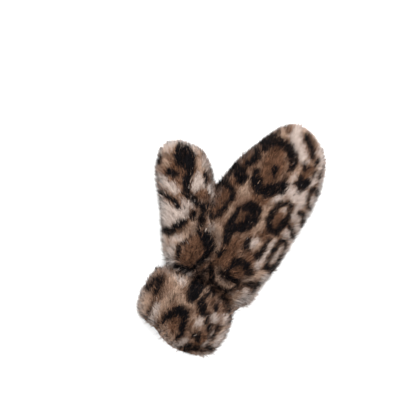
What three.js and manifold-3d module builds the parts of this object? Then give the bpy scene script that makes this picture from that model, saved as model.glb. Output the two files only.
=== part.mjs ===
// A faux fur mitten with a leopard print, lying on its back: an open cuff, a gathered wrist,
// a long rounded hand and a set-in thumb whose ball covers the wrist side of the palm.
// Millimetres, +Z up. The mitten lies along +Y with the fingertips at the far end,
// the palm faces up and the thumb leans out over -X.
import * as THREE from "three";
import { mergeVertices } from "three/addons/utils/BufferGeometryUtils.js";
import Module from "manifold-3d";

const wasm = await Module();
wasm.setup();

// The fur: a thin knitted ground with a dense pile, measured together as one wall.
const WALL = 7.5;
const SEAM_GAP = 0.3;
const SEAM_HEIGHT = 18;
const WRIST = 55;
const HEM_ROUNDING = 5;

// The pile's surface breaks into small pointed locks that all lie towards the fingertips.
const LOCK_RISE = 1.7;
const LOCK_REACH = 2.4;
const LEAST_LOCK = 0.65;
const LOCK_SPREAD = 0.7;

// Locks fade out on narrow sections and where the thumb runs into the hand.
const BARE_HAND_WIDTH = 15;
const FULL_HAND_WIDTH = 65;
const FULL_THUMB_WIDTH = 20;
const LEAST_THUMB_COVER = 0.3;
const LOCKS_START = 2;
const LOCKS_FULL = 7;

// The flattened cross-section: a fuller upper half on a squarer lower half.
const WAIST_SHARE = 0.43;
const UPPER_SQUARENESS = 2.25;
const LOWER_SQUARENESS = 2.9;
const HAND_ROUNDNESS = 2.4;
const FLATNESS = 2.2;

// The elastic at the wrist pleats the fur into gathers that fade out on both sides.
const GATHERS = 13;
const GATHER_DEPTH = 2.3;
const GATHER_SPREAD = 20;
const GATHER_UNEVENNESS = 1.3;

// Creases fade where the surface turns away from straight up by more than this slope.
const CREASE_SLOPE = 1.5;

// The room for the hand ends this far before the fingertips and narrows on its way there.
const TIP_FILL = 12;
const TAPER_LENGTH = 30;
const TAPER = 4.5;
const LEAST_THUMB_RADIUS = 1.5;

// Rings crowd together by this share at the ends of a form, where it turns in.
const RING_CROWDING = 0.045;
const HAND_COLUMNS = 54;
const HAND_STEP = 5.4;
const HOLLOW_COLUMNS = 28;
const HOLLOW_STEP = 11;
const THUMB_COLUMNS = 30;
const THUMB_RINGS = 25;
const THUMB_HOLLOW_COLUMNS = 18;
const THUMB_HOLLOW_RINGS = 11;

// Cross-sections of cuff and hand. The bows pull the left and the right side of the hem back
// towards the wrist, the left side further.
const BODY = [
  { y: -18, left: -45.5, right: 37.5, low: 3.5, high: 33, left_bow: 10, right_bow: 5 },
  { y: -14, left: -49.5, right: 41, low: 0.6, high: 36.5, left_bow: 12, right_bow: 7.5 },
  { y: -7, left: -53, right: 43.4, low: -1.5, high: 39, left_bow: 13, right_bow: 8 },
  { y: 4, left: -55, right: 45.2, low: -2, high: 40.5, left_bow: 10, right_bow: 6 },
  { y: 18, left: -55.8, right: 45.5, low: -2, high: 41, left_bow: 6, right_bow: 3 },
  { y: 32, left: -56, right: 43.8, low: -2, high: 40.5, left_bow: 2, right_bow: 1 },
  { y: 43, left: -52.5, right: 40.6, low: -1, high: 37, left_bow: 0, right_bow: 0 },
  { y: 50, left: -46.5, right: 37.8, low: 1.5, high: 32.5, left_bow: 0, right_bow: 0 },
  { y: 55, left: -42.5, right: 36.8, low: 3.5, high: 29.5, left_bow: 0, right_bow: 0 },
  { y: 60, left: -45.5, right: 41.2, low: 1.5, high: 34, left_bow: 0, right_bow: 0 },
  { y: 67, left: -48, right: 46.8, low: -1, high: 40, left_bow: 0, right_bow: 0 },
  { y: 78, left: -49.5, right: 50, low: -2, high: 44, left_bow: 0, right_bow: 0 },
  { y: 95, left: -49.5, right: 52.3, low: -2, high: 46, left_bow: 0, right_bow: 0 },
  { y: 118, left: -48, right: 54.5, low: -2, high: 46.5, left_bow: 0, right_bow: 0 },
  { y: 142, left: -46.5, right: 55, low: -2, high: 45.5, left_bow: 0, right_bow: 0 },
  { y: 166, left: -44, right: 55.6, low: -2, high: 44.5, left_bow: 0, right_bow: 0 },
  { y: 186, left: -42, right: 55.4, low: -2, high: 43, left_bow: 0, right_bow: 0 },
  { y: 202, left: -38.3, right: 53.8, low: -2, high: 41, left_bow: 0, right_bow: 0 },
  { y: 217, left: -32.8, right: 49.6, low: -2, high: 38.5, left_bow: 0, right_bow: 0 },
  { y: 230, left: -27.3, right: 43.8, low: -1, high: 35, left_bow: 0, right_bow: 0 },
  { y: 241, left: -22, right: 36.4, low: 1, high: 31, left_bow: 0, right_bow: 0 },
  { y: 249, left: -16.8, right: 28.2, low: 4, high: 27.5, left_bow: 0, right_bow: 0 },
  { y: 254.5, left: -11, right: 20.2, low: 8, high: 24, left_bow: 0, right_bow: 0 },
  { y: 258, left: -3, right: 12, low: 12.5, high: 19.5, left_bow: 0, right_bow: 0 },
];

// Cross-sections of the thumb along its middle line, from the ball at the wrist to the tip.
const THUMB = [
  { x: -32, y: 56, z: 29.5, half_width: 9.5, half_height: 7 },
  { x: -32.4, y: 60, z: 30, half_width: 17.6, half_height: 12.5 },
  { x: -34, y: 68, z: 30.5, half_width: 22.4, half_height: 17.5 },
  { x: -37.8, y: 80, z: 30.5, half_width: 26.2, half_height: 20.5 },
  { x: -42.7, y: 92, z: 30, half_width: 28.4, half_height: 21.5 },
  { x: -49.5, y: 104.5, z: 28.5, half_width: 29.8, half_height: 21.5 },
  { x: -60.5, y: 120, z: 25, half_width: 30, half_height: 20.5 },
  { x: -71.5, y: 134, z: 21, half_width: 29.7, half_height: 19.8 },
  { x: -81, y: 145.5, z: 18.6, half_width: 29.5, half_height: 19.4 },
  { x: -89, y: 153.5, z: 17.6, half_width: 28.4, half_height: 18.6 },
  { x: -97, y: 161.5, z: 16.8, half_width: 24, half_height: 16.8 },
  { x: -101, y: 166, z: 16.4, half_width: 20, half_height: 15 },
  { x: -103.5, y: 170.2, z: 16.2, half_width: 14.5, half_height: 12 },
  { x: -105, y: 173.6, z: 16, half_width: 7.5, half_height: 6.5 },
];

// Creases pressed into the upper side, each a straight run between two places seen from above.
const CREASES = [
  { on: "body", x1: 0, y1: 66, x2: 27, y2: 73, depth: 4, reach: 5 },
  { on: "body", x1: 27, y1: 73, x2: 50, y2: 90, depth: 3.4, reach: 5 },
  { on: "body", x1: -8, y1: 62, x2: 4, y2: 92, depth: 2.6, reach: 5 },
  { on: "body", x1: 16, y1: 58, x2: 24, y2: 38, depth: 2.4, reach: 4.5 },
  { on: "body", x1: -12, y1: 56, x2: -8, y2: 34, depth: 2, reach: 4.5 },
  { on: "thumb", x1: -70, y1: 79, x2: -36, y2: 103, depth: 3.6, reach: 5.5 },
];

// A table read as smooth functions of its key column.
function smooth(table, key) {
  const names = Object.keys(table[0]).filter((name) => typeof table[0][name] === "number");
  const places = table.map((row) => row[key]);
  const values = table.flatMap((row) => names.map((name) => row[name]));
  const curve = new THREE.CubicInterpolant(places, values, names.length);
  return (at) => {
    const found = curve.evaluate(at);
    return Object.fromEntries(names.map((name, i) => [name, found[i]]));
  };
}

const bodyAt = smooth(BODY, "y");

// A repeatable number from 0 to 1 for a lock at this column and ring. The three factors only
// have to be large and unrelated.
function chance(column, ring) {
  const wave = Math.sin(column * 127.1 + ring * 311.7) * 43758.5453;
  return wave - Math.floor(wave);
}

function powered(value, squareness) {
  return Math.sign(value) * Math.abs(value) ** (2 / squareness);
}

// A point of the flattened section, with the waist below the middle of the height.
function onSection(section, turn, inset) {
  const halfWidth = (section.right - section.left) / 2 - inset;
  const low = Math.max(section.low, 0) + inset;
  const floor = inset > 0 ? low : section.low;
  const high = section.high - inset;
  const waist = section.low + WAIST_SHARE * (section.high - section.low);
  const across = Math.cos(turn);
  const up = Math.sin(turn);
  const squareness = up > 0 ? UPPER_SQUARENESS : LOWER_SQUARENESS;
  const reach = up > 0 ? high - waist : waist - floor;
  return new THREE.Vector3(
    (section.left + section.right) / 2 + halfWidth * powered(across, squareness),
    section.y + (across < 0 ? section.left_bow : section.right_bow) * across * across,
    waist + reach * powered(up, squareness),
  );
}

// A whole section as a ring of evenly spaced points.
function sectionRing(section, inset, columns) {
  const turns = Array.from({ length: 2 * columns }, (_, i) => (Math.PI * i) / columns);
  const curve = new THREE.CatmullRomCurve3(turns.map((turn) => onSection(section, turn, inset)), true);
  curve.arcLengthDivisions = 10 * columns;
  return curve.getSpacedPoints(columns).slice(0, columns);
}

function creaseDepth(point, on) {
  let depth = 0;
  for (const crease of CREASES.filter((one) => one.on === on)) {
    const start = new THREE.Vector2(crease.x1, crease.y1);
    const run = new THREE.Vector2(crease.x2, crease.y2).sub(start);
    const here = new THREE.Vector2(point.x, point.y).sub(start);
    const share = THREE.MathUtils.clamp(here.dot(run) / run.lengthSq(), 0, 1);
    const away = here.distanceTo(run.multiplyScalar(share));
    depth += crease.depth * Math.exp(-((away / crease.reach) ** 2));
  }
  return depth;
}

// Every second place on the rings is the tip of a lock, raised and drawn along the nap.
function raiseLock(point, outwards, nap, column, ring, share) {
  if ((column + ring) % 2) return;
  const size = share * (LEAST_LOCK + LOCK_SPREAD * chance(column, ring));
  point.addScaledVector(outwards, LOCK_RISE * size);
  point.addScaledVector(nap, LOCK_REACH * size);
}

// Closes a run of rings into one skin. Quads are cut so that each lock tip is a pyramid.
function skin(rings) {
  const columns = rings[0].length;
  const points = rings.flat();
  const faces = [];
  const at = (ring, column) => ring * columns + (column % columns);
  for (let ring = 0; ring + 1 < rings.length; ring++)
    for (let column = 0; column < columns; column++) {
      const a = at(ring, column);
      const b = at(ring, column + 1);
      const c = at(ring + 1, column + 1);
      const d = at(ring + 1, column);
      if ((ring + column) % 2) faces.push(a, c, b, a, d, c);
      else faces.push(a, d, b, b, d, c);
    }
  for (const [ring, last] of [[0, false], [rings.length - 1, true]]) {
    const middle = new THREE.Vector3();
    rings[ring].forEach((point) => middle.addScaledVector(point, 1 / columns));
    points.push(middle);
    for (let column = 0; column < columns; column++) {
      const pair = [at(ring, column), at(ring, column + 1)];
      if (last) pair.reverse();
      faces.push(points.length - 1, ...pair);
    }
  }
  const geometry = new THREE.BufferGeometry().setFromPoints(points);
  geometry.setIndex(faces);
  return geometry;
}

function toSolid(geometry) {
  const merged = mergeVertices(geometry, 1e-4);
  const mesh = new wasm.Mesh({
    numProp: 3,
    vertProperties: new Float32Array(merged.attributes.position.array),
    triVerts: new Uint32Array(merged.index.array),
  });
  return new wasm.Manifold(mesh);
}

function toGeometry(solid) {
  const mesh = solid.getMesh();
  const geometry = new THREE.BufferGeometry();
  geometry.setAttribute("position", new THREE.BufferAttribute(mesh.vertProperties, 3));
  geometry.setIndex(new THREE.BufferAttribute(mesh.triVerts, 1));
  return geometry;
}

// How crowded rings run from one end of a form to the other, as shares of its length.
function ringShare(ring, rings) {
  const even = ring / rings;
  return even - RING_CROWDING * Math.sin(2 * Math.PI * even);
}

// The outside of cuff and hand: gathers, creases and locks on the plain sections.
function bodyOutside() {
  const first = BODY[0].y;
  const last = BODY.at(-1).y;
  const count = Math.round((last - first) / HAND_STEP);
  const nap = new THREE.Vector3(0, 1, 0);
  const rings = [];
  for (let ring = 0; ring <= count; ring++) {
    const section = bodyAt(first + ringShare(ring, count) * (last - first));
    const middle = onSection(section, Math.PI / 2, 0);
    middle.z = section.low + WAIST_SHARE * (section.high - section.low);
    const nearWrist = Math.exp(-(((section.y - WRIST) / GATHER_SPREAD) ** 2));
    const width = section.right - section.left;
    const cover = THREE.MathUtils.clamp(
      (width - BARE_HAND_WIDTH) / (FULL_HAND_WIDTH - BARE_HAND_WIDTH), 0, 1);
    const points = sectionRing(section, 0, HAND_COLUMNS);
    points.forEach((point, column) => {
      const turn = (2 * Math.PI * column) / HAND_COLUMNS;
      const outwards = new THREE.Vector3(point.x - middle.x, 0, FLATNESS * (point.z - middle.z));
      outwards.normalize();
      const gather = Math.cos(GATHERS * turn + GATHER_UNEVENNESS * Math.sin(2 * turn));
      point.addScaledVector(outwards, GATHER_DEPTH * nearWrist * gather);
      const faceUp = THREE.MathUtils.clamp(outwards.z * CREASE_SLOPE, 0, 1);
      point.addScaledVector(outwards, -faceUp * creaseDepth(point, "body"));
      raiseLock(point, outwards, nap, column, ring, cover);
      point.z = Math.max(point.z, 0);
    });
    rings.push(points);
  }
  return toSolid(skin(rings));
}

// The room for the hand and wrist, run out past the hem so that it opens the cuff.
function bodyHollow() {
  const first = BODY[0].y - WALL;
  const last = BODY.at(-1).y - TIP_FILL;
  const count = Math.round((last - first) / HOLLOW_STEP);
  const rings = [];
  for (let ring = 0; ring <= count; ring++) {
    const y = first + (ring / count) * (last - first);
    const section = bodyAt(Math.max(y, BODY[0].y + HEM_ROUNDING));
    section.y = y;
    const nearTip = THREE.MathUtils.clamp((y - last + TAPER_LENGTH) / TAPER_LENGTH, 0, 1);
    const narrowing = TAPER * nearTip ** 3;
    rings.push(sectionRing(section, WALL + narrowing, HOLLOW_COLUMNS));
  }
  return toSolid(skin(rings));
}

// How far a point lies outside the plain form of the hand, in millimetres.
function outsideHand(point) {
  const section = bodyAt(THREE.MathUtils.clamp(point.y, WRIST, BODY.at(-1).y));
  const waist = section.low + WAIST_SHARE * (section.high - section.low);
  const halfWidth = (section.right - section.left) / 2;
  const across = (point.x - (section.left + section.right) / 2) / halfWidth;
  const height = point.z > waist ? section.high - waist : waist - section.low;
  const up = (point.z - waist) / height;
  const sum = Math.abs(across) ** HAND_ROUNDNESS + Math.abs(up) ** HAND_ROUNDNESS;
  const radius = sum ** (1 / HAND_ROUNDNESS);
  return (radius - 1) * height;
}

// The thumb's form, grown or shrunk by a margin, with or without its locks.
function thumbForm(margin, columns, rings, locks) {
  let length = 0;
  const path = THUMB.map((row, i) => {
    const before = THUMB[Math.max(i - 1, 0)];
    length += Math.hypot(row.x - before.x, row.y - before.y, row.z - before.z);
    return { ...row, along: length };
  });
  const thumbAt = smooth(path, "along");
  const placeAt = (along) => {
    const row = thumbAt(THREE.MathUtils.clamp(along, 0, length));
    return new THREE.Vector3(row.x, row.y, row.z);
  };
  const up = new THREE.Vector3(0, 0, 1);
  const first = margin < 0 ? -margin : 0;
  const made = [];
  for (let ring = 0; ring <= rings; ring++) {
    const along = first + ringShare(ring, rings) * (length - 2 * first);
    const row = thumbAt(along);
    const tangent = placeAt(along + 1).sub(placeAt(along - 1)).normalize();
    const side = new THREE.Vector3().crossVectors(tangent, up).normalize();
    const middle = placeAt(along);
    if (margin > 0 && ring === 0) middle.addScaledVector(tangent, -2 * margin);
    if (margin > 0 && ring === rings) middle.addScaledVector(tangent, 2 * margin);
    const halfWidth = Math.max(row.half_width + margin, LEAST_THUMB_RADIUS);
    const halfHeight = Math.max(row.half_height + margin, LEAST_THUMB_RADIUS);
    const cover = THREE.MathUtils.clamp(row.half_width / FULL_THUMB_WIDTH, LEAST_THUMB_COVER, 1);
    const points = [];
    for (let column = 0; column < columns; column++) {
      const turn = (2 * Math.PI * column) / columns;
      const point = middle.clone();
      point.addScaledVector(side, halfWidth * powered(Math.cos(turn), UPPER_SQUARENESS));
      point.z += halfHeight * powered(Math.sin(turn), UPPER_SQUARENESS);
      const outwards = point.clone().sub(middle).normalize();
      const clear = THREE.MathUtils.smoothstep(outsideHand(point), LOCKS_START, LOCKS_FULL);
      if (margin >= 0) {
        const faceUp = THREE.MathUtils.clamp(outwards.z * CREASE_SLOPE, 0, 1);
        point.addScaledVector(outwards, -faceUp * creaseDepth(point, "thumb"));
      }
      if (locks) raiseLock(point, outwards, tangent, column, ring, clear * cover);
      if (margin >= 0) point.z = Math.max(point.z, 0);
      points.push(point);
    }
    made.push(points);
  }
  return toSolid(skin(made));
}

// A box of space between two corners, for parting the fur along its seams.
function space(low, high) {
  const size = new THREE.Vector3().subVectors(high, low);
  const box = new THREE.BoxGeometry(size.x, size.y, size.z);
  box.translate(low.x + size.x / 2, low.y + size.y / 2, low.z + size.z / 2);
  box.deleteAttribute("normal");
  box.deleteAttribute("uv");
  return toSolid(box);
}

const FAR = 400;
const HALF_GAP = SEAM_GAP / 2;
const handSide = space(new THREE.Vector3(-FAR, WRIST + HALF_GAP, -FAR), new THREE.Vector3(FAR, FAR, FAR));
const cuffSide = space(new THREE.Vector3(-FAR, -FAR, -FAR), new THREE.Vector3(FAR, WRIST - HALF_GAP, FAR));
const palmSide = space(
  new THREE.Vector3(-FAR, -FAR, SEAM_HEIGHT + HALF_GAP),
  new THREE.Vector3(FAR, FAR, FAR),
);
const backSide = space(
  new THREE.Vector3(-FAR, -FAR, -FAR),
  new THREE.Vector3(FAR, FAR, SEAM_HEIGHT - HALF_GAP),
);

const hollow = bodyHollow();
const wall = bodyOutside().subtract(hollow);
const thumbSeat = thumbForm(SEAM_GAP, THUMB_COLUMNS, THUMB_RINGS, true);
const handWall = wall.intersect(handSide).subtract(thumbSeat);
const thumbOutside = thumbForm(0, THUMB_COLUMNS, THUMB_RINGS, true);
const thumbHollow = thumbForm(-WALL, THUMB_HOLLOW_COLUMNS, THUMB_HOLLOW_RINGS, false);

const pieces = {
  back_panel: handWall.intersect(backSide),
  palm_panel: handWall.intersect(palmSide),
  thumb: thumbOutside.subtract(thumbHollow).subtract(hollow).intersect(handSide),
  cuff: wall.intersect(cuffSide),
};

// Tan between black and cream: the print's mean colour, on a matt pile.
function fur() {
  return new THREE.MeshStandardMaterial({ color: 0x8a7160, roughness: 0.95, metalness: 0 });
}

const mitten = new THREE.Group();
for (const [name, solid] of Object.entries(pieces)) {
  const mesh = new THREE.Mesh(toGeometry(solid), fur());
  mesh.name = name;
  mitten.add(mesh);
}

// The origin is on the surface that the mitten lies on, below the middle of its outline.
const outline = new THREE.Box3().setFromObject(mitten);
const middle = outline.getCenter(new THREE.Vector3());
mitten.position.set(-middle.x, -middle.y, -outline.min.z);

export default mitten;
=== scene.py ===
import math

import bmesh
import bpy
import numpy as np
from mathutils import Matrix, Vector
from mathutils.bvhtree import BVHTree
from mathutils.kdtree import KDTree


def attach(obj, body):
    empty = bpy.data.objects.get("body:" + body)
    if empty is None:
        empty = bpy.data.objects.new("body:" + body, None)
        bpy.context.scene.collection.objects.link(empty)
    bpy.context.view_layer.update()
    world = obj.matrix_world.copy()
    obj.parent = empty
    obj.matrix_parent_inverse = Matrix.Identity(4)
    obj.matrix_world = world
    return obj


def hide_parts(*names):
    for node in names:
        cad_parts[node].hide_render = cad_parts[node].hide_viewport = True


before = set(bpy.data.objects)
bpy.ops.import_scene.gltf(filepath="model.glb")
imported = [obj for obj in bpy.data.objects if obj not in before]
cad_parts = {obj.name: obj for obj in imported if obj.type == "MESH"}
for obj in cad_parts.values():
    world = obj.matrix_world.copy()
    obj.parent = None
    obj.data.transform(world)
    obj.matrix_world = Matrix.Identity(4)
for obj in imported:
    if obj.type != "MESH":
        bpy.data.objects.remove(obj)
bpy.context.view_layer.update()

MM = 0.001
NODES = ["back_panel", "palm_panel", "thumb", "cuff"]
THUMB = NODES.index("thumb")
CUFF = NODES.index("cuff")

# The middle of the cuff's hem in the frame, in millimetres.
HEM_MIDDLE = np.array([31.30, -120.00])
# The knitted ground lies this far below the tips of the pile.
PILE_HEIGHT = 5.8 * MM
# How finely the ground and the skins are remeshed, how often they are smoothed, and how low over
# the table they may lie.
GROUND_VOXEL = 2.0 * MM
GROUND_ROUNDS = 14
GROUND_LOWEST = 0.0006
SKIN_VOXEL = 1.8 * MM
SKIN_ROUNDS = 4
SKIN_LOWEST = 0.0004
# The ways along and across the thumb and the hand.
THUMB_WAY = np.array([-0.62, 0.784, 0.0])
THUMB_SIDE = np.array([0.784, 0.62, 0.0])
HAND_WAY = np.array([0.0, 1.0, 0.0])
HAND_SIDE = np.array([1.0, 0.0, 0.0])
UP = np.array([0.0, 0.0, 1.0])


# Small helpers.

def mesh_points(mesh):
    flat = np.zeros(len(mesh.vertices) * 3, np.float32)
    mesh.vertices.foreach_get("co", flat)
    return flat.reshape(-1, 3).astype(float)


def mesh_normals(mesh):
    flat = np.zeros(len(mesh.vertices) * 3, np.float32)
    mesh.vertices.foreach_get("normal", flat)
    return flat.reshape(-1, 3).astype(float)


def set_points(mesh, points):
    mesh.vertices.foreach_set("co", points.astype(np.float32).ravel())
    mesh.update()


def unit(vectors):
    return vectors / np.maximum(np.linalg.norm(vectors, axis=1, keepdims=True), 1e-9)


def smooth_step(low, high, value):
    share = np.clip((value - low) / (high - low), 0, 1)
    return share * share * (3 - 2 * share)


def add_object(name, mesh):
    made = bpy.data.objects.new(name, mesh)
    bpy.context.scene.collection.objects.link(made)
    return made


def store(mesh, name, values):
    values = np.asarray(values, np.float32)
    kind, key = ("FLOAT_VECTOR", "vector") if values.ndim == 2 else ("FLOAT", "value")
    mesh.attributes.new(name, kind, "POINT").data.foreach_set(key, values.ravel())


def applied(made, name):
    graph = bpy.context.evaluated_depsgraph_get()
    mesh = bpy.data.meshes.new_from_object(made.evaluated_get(graph))
    mesh.name = name
    made.modifiers.clear()
    return mesh


def soft_copy(name, nodes, voxel, rounds):
    """One rounded closed skin over copies of CAD nodes."""
    form = bmesh.new()
    for node in nodes:
        form.from_mesh(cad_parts[node].data)
    bmesh.ops.remove_doubles(form, verts=form.verts, dist=1e-5)
    mesh = bpy.data.meshes.new(name)
    form.to_mesh(mesh)
    form.free()
    made = add_object(name, mesh)
    remesh = made.modifiers.new("remesh", "REMESH")
    remesh.mode = "VOXEL"
    remesh.voxel_size = voxel
    smooth = made.modifiers.new("smooth", "SMOOTH")
    smooth.iterations = rounds
    bpy.context.view_layer.update()
    result = applied(made, name)
    bpy.data.objects.remove(made)
    return result


# How long a slice of a form is, and how many points it needs to count.
SLICE = 0.006
FEWEST_POINTS = 6
NARROWEST_MIDDLE = 0.0005


def slices(points, way, side):
    """Place along the way, middle, half-width and mid-height of a form, in slices."""
    along = points @ way
    across = points @ side
    low = along.min()
    count = int((along.max() - low) / SLICE) + 1
    rows = []
    for k in range(count):
        place = low + (k + 0.5) * SLICE
        here = np.abs(along - place) < SLICE
        if here.sum() < FEWEST_POINTS:
            continue
        x, z = across[here], points[here, 2]
        rows.append((place, (x.min() + x.max()) / 2, (x.max() - x.min()) / 2,
                     (z.min() + z.max()) / 2))
    return np.array(rows)


def middle_of(points, table, way, side, inset, run_out, stop_short):
    """The nearest place on the flat middle of a form, for each point.

    The middle stays inside the sides by the inset, runs out past the form's first slice, and stops
    short of its last one.
    """
    along = np.clip(points @ way, table[0, 0] - run_out, table[-1, 0] - stop_short)
    centre = np.interp(along, table[:, 0], table[:, 1])
    half = np.maximum(np.interp(along, table[:, 0], table[:, 2]) - inset, NARROWEST_MIDDLE)
    height = np.interp(along, table[:, 0], table[:, 3])
    across = np.clip(points @ side, centre - half, centre + half)
    return along[:, None] * way + across[:, None] * side + height[:, None] * UP


# Folds pressed into the upper side.
FOLDS = [
    # (depth, reach to each side, run of places X, Y)
    # where the thumb is set into the palm
    (3.0, 2.2, (-48.5, 157, -45, 151, -41, 143, -41.5, 137, -44, 131)),
    (4.5, 2.6, (-44, 131, -45, 121, -42, 112, -36, 108.5, -26, 109, -16, 104, -11, 94, -11, 82,
                -16, 68)),
    # tucks that run out over the thumb from its seam
    (3.2, 2.4, (-38, 136, -50, 130, -62, 130)),
    (2.6, 2.4, (-36, 126, -46, 118, -56, 110)),
    (2.6, 3.4, (-72, 79, -57, 83, -47, 91, -38, 101)),
    # the elastic at the wrist
    (5.0, 2.6, (-52, 54, -40, 57.5, -30, 58.5, -20, 59, -14, 56)),
    (2.6, 3.6, (-14, 56, -2, 57, 12, 53, 25, 50, 40, 51)),
    # the lower edge of the padded palm
    (2.2, 3.2, (-2, 78, 4, 73, 12, 69.5, 22, 70, 30, 76, 40, 82, 50, 86)),
    # short pleats that run out of the wrist
    (2.4, 3.0, (-12, 58, -5, 70, -7, 84)),
    (2.2, 2.6, (3.5, 62, 3, 46, 4, 32)),
    (2.0, 2.6, (15, 50, 16, 36, 21, 25)),
    (2.0, 2.6, (-12, 52, -14, 40, -18, 30)),
    (1.8, 2.6, (-36, 53, -37, 42, -41, 28)),
    (1.8, 2.6, (30, 48, 33, 36, 33, 22)),
]
# Over the table, folds start at the first height and are full from the second.
FOLDS_START = 0.017
FOLDS_FULL = 0.027


def run_distance(places, run):
    """How far each place lies from a run of places, in millimetres."""
    dots = np.array(run, float).reshape(-1, 2)
    gap = np.full(len(places), 1e3)
    for a, b in zip(dots, dots[1:]):
        share = np.clip((places - a) @ (b - a) / ((b - a) @ (b - a)), 0, 1)
        gap = np.minimum(gap, np.linalg.norm(places - a - share[:, None] * (b - a), axis=1))
    return gap


def fold_drop(points):
    """How far the folds press each point down, in metres."""
    places = points[:, :2] / MM - HEM_MIDDLE
    drop = np.zeros(len(points))
    for depth, reach, run in FOLDS:
        drop = np.maximum(drop, depth * np.exp(-(run_distance(places, run) / reach) ** 2))
    return drop * MM * smooth_step(FOLDS_START, FOLDS_FULL, points[:, 2])


# The ground of the pile.

node_trees = {}
node_points = {}
for node in NODES:
    form = bmesh.new()
    form.from_mesh(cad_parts[node].data)
    node_trees[node] = BVHTree.FromBMesh(form)
    form.free()
    node_points[node] = mesh_points(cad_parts[node].data)

ground = soft_copy("ground", NODES, GROUND_VOXEL, GROUND_ROUNDS)
raised = mesh_points(ground)
fold = fold_drop(raised)

# How far each point lies from each solid, and which solid it belongs to.
away = np.array([[node_trees[node].find_nearest(Vector(p))[3] for node in NODES] for p in raised])
owner = away.argmin(1)
flat_normals = mesh_normals(ground)
set_points(ground, raised - fold[:, None] * UP)
normals = mesh_normals(ground)

hand_points = np.concatenate([node_points[node] for node in NODES if node != "thumb"])
hand_table = slices(hand_points, HAND_WAY, HAND_SIDE)
thumb_table = slices(node_points["thumb"], THUMB_WAY, THUMB_SIDE)
hand_middle = middle_of(raised, hand_table, HAND_WAY, HAND_SIDE,
                        inset=0.022, run_out=0.03, stop_short=0.024)
thumb_middle = middle_of(raised, thumb_table, THUMB_WAY, THUMB_SIDE,
                         inset=0.018, run_out=-0.02, stop_short=0.022)
middle = np.where((owner == THUMB)[:, None], thumb_middle, hand_middle)
outside = ((raised - middle) * flat_normals).sum(1) > 0

# Towards which way the pile lies: to the fingertips on the hand, to the tip on the thumb, and
# around the folded hem from the inside out.
SEAM_BLEND = 0.004
HEM_ZONE = -0.1
HEM_RADIUS = 0.02
HEM_TURN = 1.5
others_away = np.delete(away, THUMB, axis=1).min(1)
thumbness = smooth_step(-SEAM_BLEND, SEAM_BLEND, others_away - away[:, THUMB])
way = unit(HAND_WAY + (THUMB_WAY - HAND_WAY) * thumbness[:, None])
hem = np.clip(-normals[:, 1], 0, 1)[:, None] * (raised[:, 1:2] < HEM_ZONE)
way = unit(way + HEM_TURN * hem * (raised - hand_middle) / HEM_RADIUS)
# On the cuff the pile fans out to the thumb's side.
CUFF_MIDDLE = 0.03
FAN_START = 0.03
FAN_FULL = -0.05
FAN_TURN = 0.6
fan = (owner == CUFF) * smooth_step(FAN_START, FAN_FULL, raised[:, 0] - CUFF_MIDDLE)
way = unit(way - HAND_SIDE * (FAN_TURN * fan)[:, None])
# The nap is the part of the way that lies along the surface.
nap = way - normals * (way * normals).sum(1)[:, None]
nap_strength = np.minimum(np.linalg.norm(nap, axis=1), 1)[:, None]
nap = unit(nap) * nap_strength

# At the rims and along the hem the pile stands up further and makes a fringe.
RIM_LEVEL = 0.15
FLAT_LEVEL = 0.6
RIM_LIFT = 0.4
HEM_LIFT = 0.5
HEM_NAP_LOSS = 0.6
rim = 1 - smooth_step(RIM_LEVEL, FLAT_LEVEL, np.abs(normals[:, 2]))
rise = normals * (1 + RIM_LIFT * rim + HEM_LIFT * hem[:, 0])[:, None]
nap *= 1 - HEM_NAP_LOSS * hem

# Small pushes that bring the outline to its place.
PUSHES = [
    # (X, Y, reach, how far to the right, how far up)
    (46, 61, 8, 4, -3),
    (49, 71, 7, 1.3, 0),
    (39, 54, 6.5, 5, -1),
    (-24, -18, 14, 0, 4.4),
    (12, 258, 13, -1.2, -1.6),
    (58, 195, 24, -1.4, 0),
    (2, -21, 13, 0, -1.8),
    (37, -12, 8, -0.6, 1.4),
    (60, 150, 16, -0.8, 0),
    (-37, 209, 24, 1.2, -0.4),
]


def pushed(points):
    """How far each point is pushed, in metres."""
    places = points[:, :2] / MM - HEM_MIDDLE
    push = np.zeros((len(points), 3))
    for x, y, reach, right, up in PUSHES:
        near = np.exp(-((places - (x, y)) ** 2).sum(1) / reach ** 2)
        push[:, 0] += right * MM * near
        push[:, 1] += up * MM * near
    return push


# The outside sinks to the ground of the pile.
sunk = np.where(outside, PILE_HEIGHT, 0.0)
shift = pushed(raised) - normals * sunk[:, None] - fold[:, None] * UP
ground_points = raised + shift
ground_points[:, 2] = np.maximum(ground_points[:, 2], GROUND_LOWEST)
set_points(ground, ground_points)


def finder_of(points, chosen):
    """Finds the nearest of the chosen points, and gives its number."""
    tree = KDTree(int(chosen.sum()))
    for i in np.nonzero(chosen)[0]:
        tree.insert(points[i], i)
    tree.balance()
    return lambda places: np.array([tree.find(place)[1] for place in places])


on_raised = finder_of(raised, np.ones(len(raised), bool))
on_ground = finder_of(ground_points, outside)

# The skins.


def make_skin(node):
    """The knitted ground of one solid, which stands for it."""
    mesh = soft_copy(node + "_skin", [node], SKIN_VOXEL, SKIN_ROUNDS)
    points = mesh_points(mesh)
    points += shift[on_raised(points)]
    points[:, 2] = np.maximum(points[:, 2], SKIN_LOWEST)
    set_points(mesh, points)
    return add_object(node + "_skin", mesh)


skins = {node: make_skin(node) for node in NODES}

# The pile.

BLADE_POINTS = 4
# How near the tip each point of a hair counts for its shade.
BLADE_TIPS = [0, 0.6, 0.6, 1]


def blade():
    """One hair: a slim leaf along Z that bows to +Y and is pointed at both ends."""
    bow = 0.14
    points = [(0, 0, 0), (0.5, bow, 0.5), (-0.5, bow, 0.5), (0, 0, 1)]
    mesh = bpy.data.meshes.new("blade")
    mesh.from_pydata(points, [], [(0, 1, 2), (2, 1, 3)])
    return add_object("blade", mesh)


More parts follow.
